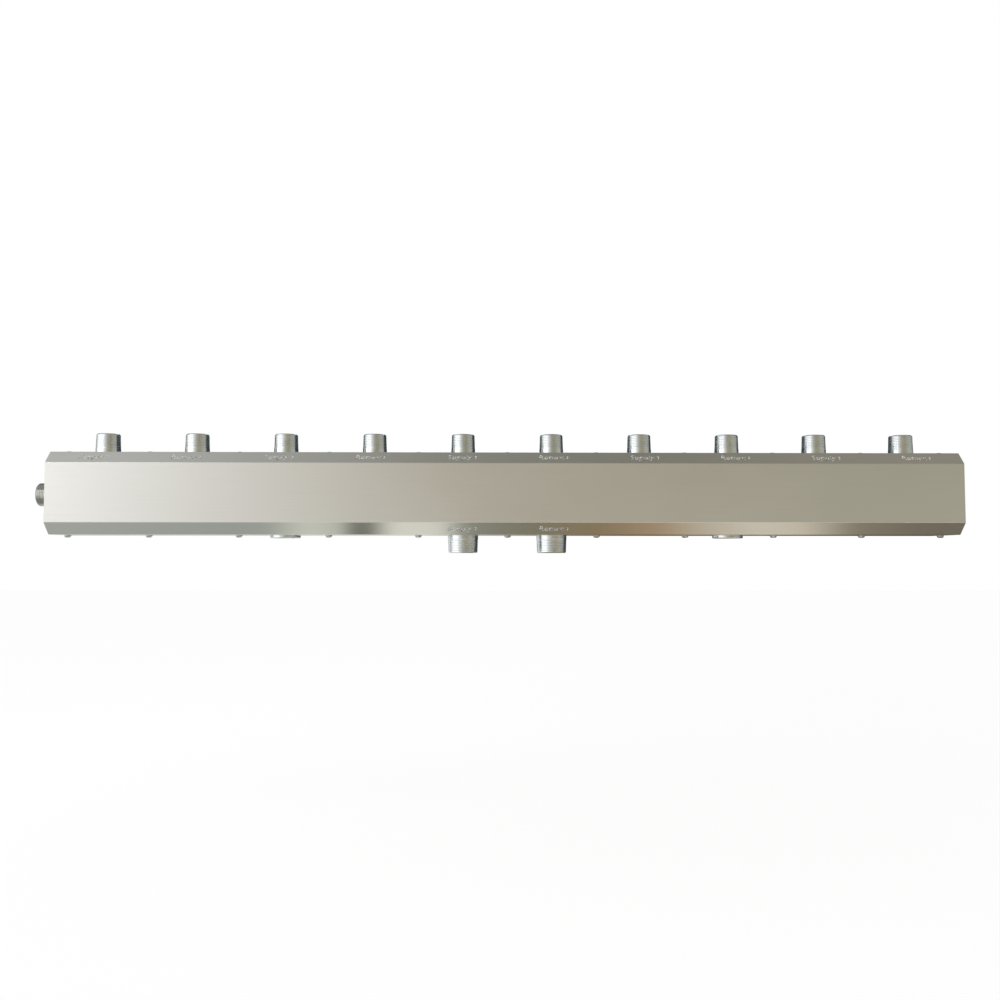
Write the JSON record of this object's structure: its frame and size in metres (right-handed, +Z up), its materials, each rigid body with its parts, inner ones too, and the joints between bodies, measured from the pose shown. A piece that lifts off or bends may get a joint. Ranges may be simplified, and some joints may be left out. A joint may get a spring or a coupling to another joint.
{
  "type": "heating manifold",
  "caption": "Long insulated heating manifold in a folded stainless casing, with threaded circuit ports on top, source ports below and an end port.",
  "frame": {"origin": "centre of the casing's flat rear face", "axes": "+X along the manifold, away from the end port; +Y out of the rear face, towards the wall; +Z up"},
  "size_m": [1.282, 0.12, 0.1672],
  "materials": {
    "stainless_sheet": "brushed stainless sheet",
    "plated_steel": "bright zinc plate",
    "body_steel": "dark primer on welded steel",
    "foam": "rigid closed-cell foam",
    "screw_steel": "bright stainless"
  },
  "bodies": {
    "root": {"flow_nipple_1": "plated_steel", "return_nipple_1": "plated_steel", "flow_nipple_2": "plated_steel", "return_nipple_2": "plated_steel", "flow_nipple_3": "plated_steel", "return_nipple_3": "plated_steel", "flow_nipple_4": "plated_steel", "return_nipple_4": "plated_steel", "flow_nipple_5": "plated_steel", "return_nipple_5": "plated_steel", "source_flow_nipple": "plated_steel", "source_return_nipple": "plated_steel", "end_nipple": "plated_steel", "support_boss_left": "plated_steel", "support_boss_right": "plated_steel", "manifold_tube": "body_steel", "end_plate_left": "body_steel", "end_plate_right": "body_steel", "chamber_divider": "body_steel", "insulation_front": "foam", "insulation_rear": "foam", "casing_front": "stainless_sheet", "casing_rear": "stainless_sheet", "end_cap_left": "stainless_sheet", "end_cap_right": "stainless_sheet", "casing_screws_top": "screw_steel", "casing_screws_bottom": "screw_steel"}
  },
  "joints": []
}
